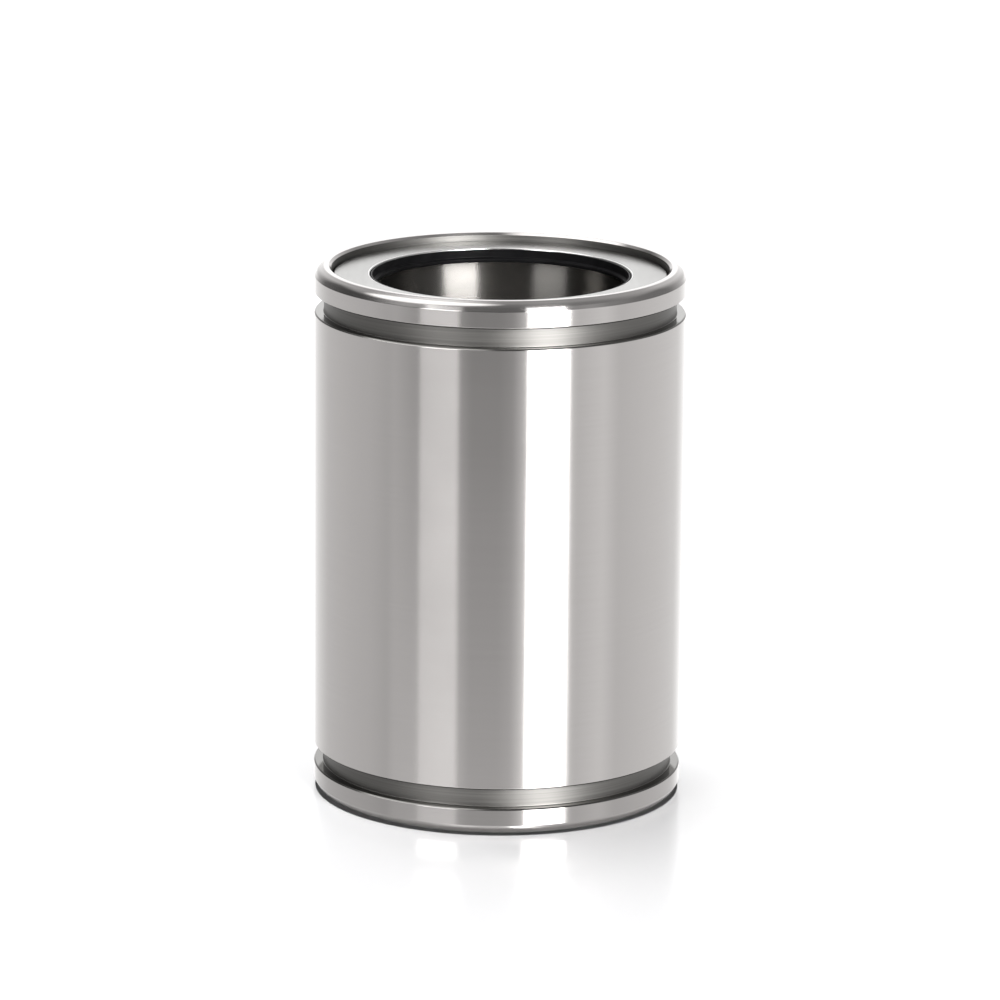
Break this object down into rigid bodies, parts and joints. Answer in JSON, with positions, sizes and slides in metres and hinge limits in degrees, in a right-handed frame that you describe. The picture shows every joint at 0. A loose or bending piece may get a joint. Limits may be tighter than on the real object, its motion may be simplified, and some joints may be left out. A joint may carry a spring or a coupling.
{
  "type": "linear ball bushing",
  "caption": "Cylindrical linear ball bushing: ground steel sleeve with ring grooves, sealed end plates and a loose ball retainer for a sliding, turning shaft.",
  "frame": {"origin": "centre of the lower end face, on the bushing's axis", "axes": "+Z along the axis from the lower to the upper end face; the bushing is the same all round, so +X and +Y are any two radii"},
  "size_m": [0.045, 0.045, 0.065],
  "materials": {
    "ground_steel": "circumferentially ground, hardened and bright",
    "plate_steel": "satin stamped steel",
    "seal_rubber": "moulded nitrile rubber, satin black",
    "spring_steel": "rolled spring steel",
    "retainer_alloy": "turned light alloy",
    "ball_steel": "lapped bearing balls"
  },
  "bodies": {
    "sleeve": {"outer_sleeve": "ground_steel", "upper_end_plate": "plate_steel", "upper_seal": "seal_rubber", "upper_wave_spring": "spring_steel", "lower_end_plate": "plate_steel", "lower_seal": "seal_rubber"},
    "lower_spring": {"lower_wave_spring": "spring_steel"},
    "retainer": {"ball_retainer": "retainer_alloy"},
    "ball_01": {"ball_01": "ball_steel"},
    "ball_02": {"ball_02": "ball_steel"},
    "ball_03": {"ball_03": "ball_steel"},
    "ball_04": {"ball_04": "ball_steel"},
    "ball_05": {"ball_05": "ball_steel"},
    "ball_06": {"ball_06": "ball_steel"},
    "ball_07": {"ball_07": "ball_steel"},
    "ball_08": {"ball_08": "ball_steel"},
    "ball_09": {"ball_09": "ball_steel"},
    "ball_10": {"ball_10": "ball_steel"},
    "ball_11": {"ball_11": "ball_steel"},
    "ball_12": {"ball_12": "ball_steel"},
    "ball_13": {"ball_13": "ball_steel"},
    "ball_14": {"ball_14": "ball_steel"},
    "ball_15": {"ball_15": "ball_steel"},
    "ball_16": {"ball_16": "ball_steel"},
    "ball_17": {"ball_17": "ball_steel"},
    "ball_18": {"ball_18": "ball_steel"},
    "ball_19": {"ball_19": "ball_steel"},
    "ball_20": {"ball_20": "ball_steel"},
    "ball_21": {"ball_21": "ball_steel"},
    "ball_22": {"ball_22": "ball_steel"},
    "ball_23": {"ball_23": "ball_steel"},
    "ball_24": {"ball_24": "ball_steel"},
    "ball_25": {"ball_25": "ball_steel"},
    "ball_26": {"ball_26": "ball_steel"},
    "ball_27": {"ball_27": "ball_steel"},
    "ball_28": {"ball_28": "ball_steel"},
    "ball_29": {"ball_29": "ball_steel"},
    "ball_30": {"ball_30": "ball_steel"},
    "ball_31": {"ball_31": "ball_steel"},
    "ball_32": {"ball_32": "ball_steel"},
    "ball_33": {"ball_33": "ball_steel"},
    "ball_34": {"ball_34": "ball_steel"},
    "ball_35": {"ball_35": "ball_steel"},
    "ball_36": {"ball_36": "ball_steel"},
    "ball_37": {"ball_37": "ball_steel"},
    "ball_38": {"ball_38": "ball_steel"},
    "ball_39": {"ball_39": "ball_steel"},
    "ball_40": {"ball_40": "ball_steel"},
    "ball_41": {"ball_41": "ball_steel"},
    "ball_42": {"ball_42": "ball_steel"},
    "ball_43": {"ball_43": "ball_steel"},
    "ball_44": {"ball_44": "ball_steel"},
    "ball_45": {"ball_45": "ball_steel"},
    "ball_46": {"ball_46": "ball_steel"},
    "ball_47": {"ball_47": "ball_steel"},
    "ball_48": {"ball_48": "ball_steel"}
  },
  "joints": [
    {"name": "retainer_spin", "type": "hinge", "parent": "sleeve", "child": "lower_spring", "pos_m": [0, 0, 0.0138], "axis": [0, 0, 1], "continuous": true},
    {"name": "retainer_travel", "type": "slide", "parent": "lower_spring", "child": "retainer", "axis": [0, 0, 1], "range_m": [0, 0.0375]},
    {"name": "ball_01_roll", "type": "hinge", "parent": "retainer", "child": "ball_01", "pos_m": [0.01698, 0, 0.00637], "axis": [0, 1, 0], "continuous": true},
    {"name": "ball_02_roll", "type": "hinge", "parent": "retainer", "child": "ball_02", "pos_m": [0.01471, 0.00849, 0.00637], "axis": [-0.5, 0.866, 0], "continuous": true},
    {"name": "ball_03_roll", "type": "hinge", "parent": "retainer", "child": "ball_03", "pos_m": [0.00849, 0.01471, 0.00637], "axis": [-0.866, 0.5, 0], "continuous": true},
    {"name": "ball_04_roll", "type": "hinge", "parent": "retainer", "child": "ball_04", "pos_m": [0, 0.01698, 0.00637], "axis": [-1, 0, 0], "continuous": true},
    {"name": "ball_05_roll", "type": "hinge", "parent": "retainer", "child": "ball_05", "pos_m": [-0.00849, 0.01471, 0.00637], "axis": [-0.866, -0.5, 0], "continuous": true},
    {"name": "ball_06_roll", "type": "hinge", "parent": "retainer", "child": "ball_06", "pos_m": [-0.01471, 0.00849, 0.00637], "axis": [-0.5, -0.866, 0], "continuous": true},
    {"name": "ball_07_roll", "type": "hinge", "parent": "retainer", "child": "ball_07", "pos_m": [-0.01698, 0, 0.00637], "axis": [0, -1, 0], "continuous": true},
    {"name": "ball_08_roll", "type": "hinge", "parent": "retainer", "child": "ball_08", "pos_m": [-0.01471, -0.00849, 0.00637], "axis": [0.5, -0.866, 0], "continuous": true},
    {"name": "ball_09_roll", "type": "hinge", "parent": "retainer", "child": "ball_09", "pos_m": [-0.00849, -0.01471, 0.00637], "axis": [0.866, -0.5, 0], "continuous": true},
    {"name": "ball_10_roll", "type": "hinge", "parent": "retainer", "child": "ball_10", "pos_m": [0, -0.01698, 0.00637], "axis": [1, 0, 0], "continuous": true},
    {"name": "ball_11_roll", "type": "hinge", "parent": "retainer", "child": "ball_11", "pos_m": [0.00849, -0.01471, 0.00637], "axis": [0.866, 0.5, 0], "continuous": true},
    {"name": "ball_12_roll", "type": "hinge", "parent": "retainer", "child": "ball_12", "pos_m": [0.01471, -0.00849, 0.00637], "axis": [0.5, 0.866, 0], "continuous": true},
    {"name": "ball_13_roll", "type": "hinge", "parent": "retainer", "child": "ball_13", "pos_m": [0.01684, 0.00222, 0.01132], "axis": [-0.1305, 0.9914, 0], "continuous": true},
    {"name": "ball_14_roll", "type": "hinge", "parent": "retainer", "child": "ball_14", "pos_m": [0.01347, 0.01034, 0.01132], "axis": [-0.6088, 0.7934, 0], "continuous": true},
    {"name": "ball_15_roll", "type": "hinge", "parent": "retainer", "child": "ball_15", "pos_m": [0.0065, 0.01569, 0.01132], "axis": [-0.9239, 0.3827, 0], "continuous": true},
    {"name": "ball_16_roll", "type": "hinge", "parent": "retainer", "child": "ball_16", "pos_m": [-0.00222, 0.01684, 0.01132], "axis": [-0.9914, -0.1305, 0], "continuous": true},
    {"name": "ball_17_roll", "type": "hinge", "parent": "retainer", "child": "ball_17", "pos_m": [-0.01034, 0.01347, 0.01132], "axis": [-0.7934, -0.6088, 0], "continuous": true},
    {"name": "ball_18_roll", "type": "hinge", "parent": "retainer", "child": "ball_18", "pos_m": [-0.01569, 0.0065, 0.01132], "axis": [-0.3827, -0.9239, 0], "continuous": true},
    {"name": "ball_19_roll", "type": "hinge", "parent": "retainer", "child": "ball_19", "pos_m": [-0.01684, -0.00222, 0.01132], "axis": [0.1305, -0.9914, 0], "continuous": true},
    {"name": "ball_20_roll", "type": "hinge", "parent": "retainer", "child": "ball_20", "pos_m": [-0.01347, -0.01034, 0.01132], "axis": [0.6088, -0.7934, 0], "continuous": true},
    {"name": "ball_21_roll", "type": "hinge", "parent": "retainer", "child": "ball_21", "pos_m": [-0.0065, -0.01569, 0.01132], "axis": [0.9239, -0.3827, 0], "continuous": true},
    {"name": "ball_22_roll", "type": "hinge", "parent": "retainer", "child": "ball_22", "pos_m": [0.00222, -0.01684, 0.01132], "axis": [0.9914, 0.1305, 0], "continuous": true},
    {"name": "ball_23_roll", "type": "hinge", "parent": "retainer", "child": "ball_23", "pos_m": [0.01034, -0.01347, 0.01132], "axis": [0.7934, 0.6088, 0], "continuous": true},
    {"name": "ball_24_roll", "type": "hinge", "parent": "retainer", "child": "ball_24", "pos_m": [0.01569, -0.0065, 0.01132], "axis": [0.3827, 0.9239, 0], "continuous": true},
    {"name": "ball_25_roll", "type": "hinge", "parent": "retainer", "child": "ball_25", "pos_m": [0.01641, 0.0044, 0.01628], "axis": [-0.2588, 0.9659, 0], "continuous": true},
    {"name": "ball_26_roll", "type": "hinge", "parent": "retainer", "child": "ball_26", "pos_m": [0.01201, 0.01201, 0.01628], "axis": [-0.7071, 0.7071, 0], "continuous": true},
    {"name": "ball_27_roll", "type": "hinge", "parent": "retainer", "child": "ball_27", "pos_m": [0.0044, 0.01641, 0.01628], "axis": [-0.9659, 0.2588, 0], "continuous": true},
    {"name": "ball_28_roll", "type": "hinge", "parent": "retainer", "child": "ball_28", "pos_m": [-0.0044, 0.01641, 0.01628], "axis": [-0.9659, -0.2588, 0], "continuous": true},
    {"name": "ball_29_roll", "type": "hinge", "parent": "retainer", "child": "ball_29", "pos_m": [-0.01201, 0.01201, 0.01628], "axis": [-0.7071, -0.7071, 0], "continuous": true},
    {"name": "ball_30_roll", "type": "hinge", "parent": "retainer", "child": "ball_30", "pos_m": [-0.01641, 0.0044, 0.01628], "axis": [-0.2588, -0.9659, 0], "continuous": true},
    {"name": "ball_31_roll", "type": "hinge", "parent": "retainer", "child": "ball_31", "pos_m": [-0.01641, -0.0044, 0.01628], "axis": [0.2588, -0.9659, 0], "continuous": true},
    {"name": "ball_32_roll", "type": "hinge", "parent": "retainer", "child": "ball_32", "pos_m": [-0.01201, -0.01201, 0.01628], "axis": [0.7071, -0.7071, 0], "continuous": true},
    {"name": "ball_33_roll", "type": "hinge", "parent": "retainer", "child": "ball_33", "pos_m": [-0.0044, -0.01641, 0.01628], "axis": [0.9659, -0.2588, 0], "continuous": true},
    {"name": "ball_34_roll", "type": "hinge", "parent": "retainer", "child": "ball_34", "pos_m": [0.0044, -0.01641, 0.01628], "axis": [0.9659, 0.2588, 0], "continuous": true},
    {"name": "ball_35_roll", "type": "hinge", "parent": "retainer", "child": "ball_35", "pos_m": [0.01201, -0.01201, 0.01628], "axis": [0.7071, 0.7071, 0], "continuous": true},
    {"name": "ball_36_roll", "type": "hinge", "parent": "retainer", "child": "ball_36", "pos_m": [0.01641, -0.0044, 0.01628], "axis": [0.2588, 0.9659, 0], "continuous": true},
    {"name": "ball_37_roll", "type": "hinge", "parent": "retainer", "child": "ball_37", "pos_m": [0.01569, 0.0065, 0.02123], "axis": [-0.3827, 0.9239, 0], "continuous": true},
    {"name": "ball_38_roll", "type": "hinge", "parent": "retainer", "child": "ball_38", "pos_m": [0.01034, 0.01347, 0.02123], "axis": [-0.7934, 0.6088, 0], "continuous": true},
    {"name": "ball_39_roll", "type": "hinge", "parent": "retainer", "child": "ball_39", "pos_m": [0.00222, 0.01684, 0.02123], "axis": [-0.9914, 0.1305, 0], "continuous": true},
    {"name": "ball_40_roll", "type": "hinge", "parent": "retainer", "child": "ball_40", "pos_m": [-0.0065, 0.01569, 0.02123], "axis": [-0.9239, -0.3827, 0], "continuous": true},
    {"name": "ball_41_roll", "type": "hinge", "parent": "retainer", "child": "ball_41", "pos_m": [-0.01347, 0.01034, 0.02123], "axis": [-0.6088, -0.7934, 0], "continuous": true},
    {"name": "ball_42_roll", "type": "hinge", "parent": "retainer", "child": "ball_42", "pos_m": [-0.01684, 0.00222, 0.02123], "axis": [-0.1305, -0.9914, 0], "continuous": true},
    {"name": "ball_43_roll", "type": "hinge", "parent": "retainer", "child": "ball_43", "pos_m": [-0.01569, -0.0065, 0.02123], "axis": [0.3827, -0.9239, 0], "continuous": true},
    {"name": "ball_44_roll", "type": "hinge", "parent": "retainer", "child": "ball_44", "pos_m": [-0.01034, -0.01347, 0.02123], "axis": [0.7934, -0.6088, 0], "continuous": true},
    {"name": "ball_45_roll", "type": "hinge", "parent": "retainer", "child": "ball_45", "pos_m": [-0.00222, -0.01684, 0.02123], "axis": [0.9914, -0.1305, 0], "continuous": true},
    {"name": "ball_46_roll", "type": "hinge", "parent": "retainer", "child": "ball_46", "pos_m": [0.0065, -0.01569, 0.02123], "axis": [0.9239, 0.3827, 0], "continuous": true},
    {"name": "ball_47_roll", "type": "hinge", "parent": "retainer", "child": "ball_47", "pos_m": [0.01347, -0.01034, 0.02123], "axis": [0.6088, 0.7934, 0], "continuous": true},
    {"name": "ball_48_roll", "type": "hinge", "parent": "retainer", "child": "ball_48", "pos_m": [0.01684, -0.00222, 0.02123], "axis": [0.1305, 0.9914, 0], "continuous": true}
  ],
  "couplings": [
    {"joint": "ball_01_roll", "follows": "retainer_travel", "rad_per_m": 503.91},
    {"joint": "ball_02_roll", "follows": "retainer_travel", "rad_per_m": 503.91},
    {"joint": "ball_03_roll", "follows": "retainer_travel", "rad_per_m": 503.91},
    {"joint": "ball_04_roll", "follows": "retainer_travel", "rad_per_m": 503.91},
    {"joint": "ball_05_roll", "follows": "retainer_travel", "rad_per_m": 503.91},
    {"joint": "ball_06_roll", "follows": "retainer_travel", "rad_per_m": 503.91},
    {"joint": "ball_07_roll", "follows": "retainer_travel", "rad_per_m": 503.91},
    {"joint": "ball_08_roll", "follows": "retainer_travel", "rad_per_m": 503.91},
    {"joint": "ball_09_roll", "follows": "retainer_travel", "rad_per_m": 503.91},
    {"joint": "ball_10_roll", "follows": "retainer_travel", "rad_per_m": 503.91},
    {"joint": "ball_11_roll", "follows": "retainer_travel", "rad_per_m": 503.91},
    {"joint": "ball_12_roll", "follows": "retainer_travel", "rad_per_m": 503.91},
    {"joint": "ball_13_roll", "follows": "retainer_travel", "rad_per_m": 503.91},
    {"joint": "ball_14_roll", "follows": "retainer_travel", "rad_per_m": 503.91},
    {"joint": "ball_15_roll", "follows": "retainer_travel", "rad_per_m": 503.91},
    {"joint": "ball_16_roll", "follows": "retainer_travel", "rad_per_m": 503.91},
    {"joint": "ball_17_roll", "follows": "retainer_travel", "rad_per_m": 503.91},
    {"joint": "ball_18_roll", "follows": "retainer_travel", "rad_per_m": 503.91},
    {"joint": "ball_19_roll", "follows": "retainer_travel", "rad_per_m": 503.91},
    {"joint": "ball_20_roll", "follows": "retainer_travel", "rad_per_m": 503.91},
    {"joint": "ball_21_roll", "follows": "retainer_travel", "rad_per_m": 503.91},
    {"joint": "ball_22_roll", "follows": "retainer_travel", "rad_per_m": 503.91},
    {"joint": "ball_23_roll", "follows": "retainer_travel", "rad_per_m": 503.91},
    {"joint": "ball_24_roll", "follows": "retainer_travel", "rad_per_m": 503.91},
    {"joint": "ball_25_roll", "follows": "retainer_travel", "rad_per_m": 503.91},
    {"joint": "ball_26_roll", "follows": "retainer_travel", "rad_per_m": 503.91},
    {"joint": "ball_27_roll", "follows": "retainer_travel", "rad_per_m": 503.91},
    {"joint": "ball_28_roll", "follows": "retainer_travel", "rad_per_m": 503.91},
    {"joint": "ball_29_roll", "follows": "retainer_travel", "rad_per_m": 503.91},
    {"joint": "ball_30_roll", "follows": "retainer_travel", "rad_per_m": 503.91},
    {"joint": "ball_31_roll", "follows": "retainer_travel", "rad_per_m": 503.91},
    {"joint": "ball_32_roll", "follows": "retainer_travel", "rad_per_m": 503.91},
    {"joint": "ball_33_roll", "follows": "retainer_travel", "rad_per_m": 503.91},
    {"joint": "ball_34_roll", "follows": "retainer_travel", "rad_per_m": 503.91},
    {"joint": "ball_35_roll", "follows": "retainer_travel", "rad_per_m": 503.91},
    {"joint": "ball_36_roll", "follows": "retainer_travel", "rad_per_m": 503.91},
    {"joint": "ball_37_roll", "follows": "retainer_travel", "rad_per_m": 503.91},
    {"joint": "ball_38_roll", "follows": "retainer_travel", "rad_per_m": 503.91},
    {"joint": "ball_39_roll", "follows": "retainer_travel", "rad_per_m": 503.91},
    {"joint": "ball_40_roll", "follows": "retainer_travel", "rad_per_m": 503.91},
    {"joint": "ball_41_roll", "follows": "retainer_travel", "rad_per_m": 503.91},
    {"joint": "ball_42_roll", "follows": "retainer_travel", "rad_per_m": 503.91},
    {"joint": "ball_43_roll", "follows": "retainer_travel", "rad_per_m": 503.91},
    {"joint": "ball_44_roll", "follows": "retainer_travel", "rad_per_m": 503.91},
    {"joint": "ball_45_roll", "follows": "retainer_travel", "rad_per_m": 503.91},
    {"joint": "ball_46_roll", "follows": "retainer_travel", "rad_per_m": 503.91},
    {"joint": "ball_47_roll", "follows": "retainer_travel", "rad_per_m": 503.91},
    {"joint": "ball_48_roll", "follows": "retainer_travel", "rad_per_m": 503.91}
  ]
}
